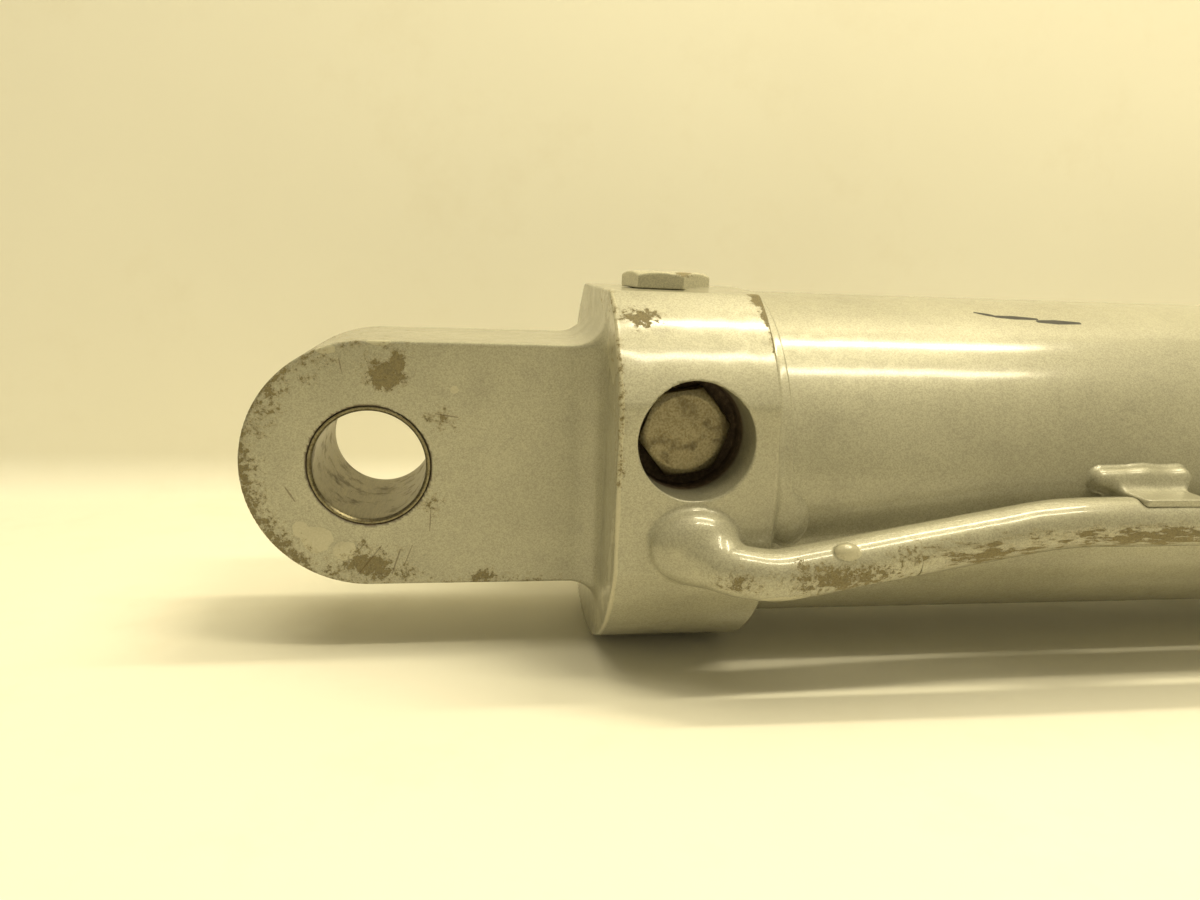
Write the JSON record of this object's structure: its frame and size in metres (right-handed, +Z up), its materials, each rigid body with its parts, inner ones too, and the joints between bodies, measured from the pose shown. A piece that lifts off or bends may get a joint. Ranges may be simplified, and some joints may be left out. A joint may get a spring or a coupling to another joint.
{
  "type": "hydraulic cylinder",
  "caption": "Double-acting hydraulic cylinder: welded base lug, ported end block, barrel with a side transfer tube, and a chromed rod ending in a pinned eye.",
  "frame": {"origin": "centre of the base lug's pin bore, on the cylinder's axis", "axes": "+X along the barrel from the base pin towards the rod eye, +Y away from the side with the recessed port and the transfer tube, +Z up, out of the upper port's flat"},
  "size_m": [1.0033, 0.2034, 0.1874],
  "materials": {
    "silver_paint": "glossy silver-grey metallic enamel with runs, chips and rust at the edges",
    "bare_steel": "machined steel, oiled, slightly browned",
    "chrome": "hard-chromed and polished",
    "rubber": "matte",
    "nylon": "matte"
  },
  "bodies": {
    "barrel": {"base_lug": "silver_paint", "base_bushing": "bare_steel", "lug_weld": "silver_paint", "base_block": "silver_paint", "front_port_plug": "bare_steel", "front_plug_seal": "rubber", "top_port_plug": "silver_paint", "top_plug_seal": "rubber", "barrel_tube": "silver_paint", "barrel_weld": "silver_paint", "transfer_tube": "silver_paint", "tube_weld_base": "silver_paint", "tube_weld_head": "silver_paint", "clip_tab_1": "silver_paint", "clip_weld_1": "silver_paint", "clip_tab_2": "silver_paint", "clip_weld_2": "silver_paint", "gland": "bare_steel", "rod_wear_ring": "nylon", "rod_seal": "rubber", "rod_wiper": "rubber", "gland_seal": "rubber", "gland_backup_ring": "nylon", "head_nut": "silver_paint"},
    "seals": {"piston_wear_ring_1": "nylon", "piston_seal": "rubber", "piston_wear_ring_2": "nylon"},
    "rod": {"piston": "bare_steel", "piston_static_seal": "rubber", "piston_nut": "bare_steel", "piston_rod": "chrome", "rod_eye_weld": "silver_paint", "rod_eye": "silver_paint", "rod_bushing": "bare_steel"}
  },
  "joints": [
    {"name": "rod_slide", "type": "slide", "parent": "barrel", "child": "seals", "axis": [1, 0, 0], "range_m": [0, 0.4064]},
    {"name": "rod_spin", "type": "hinge", "parent": "seals", "child": "rod", "pos_m": [0.26425, 0, 0], "axis": [1, 0, 0], "continuous": true}
  ]
}
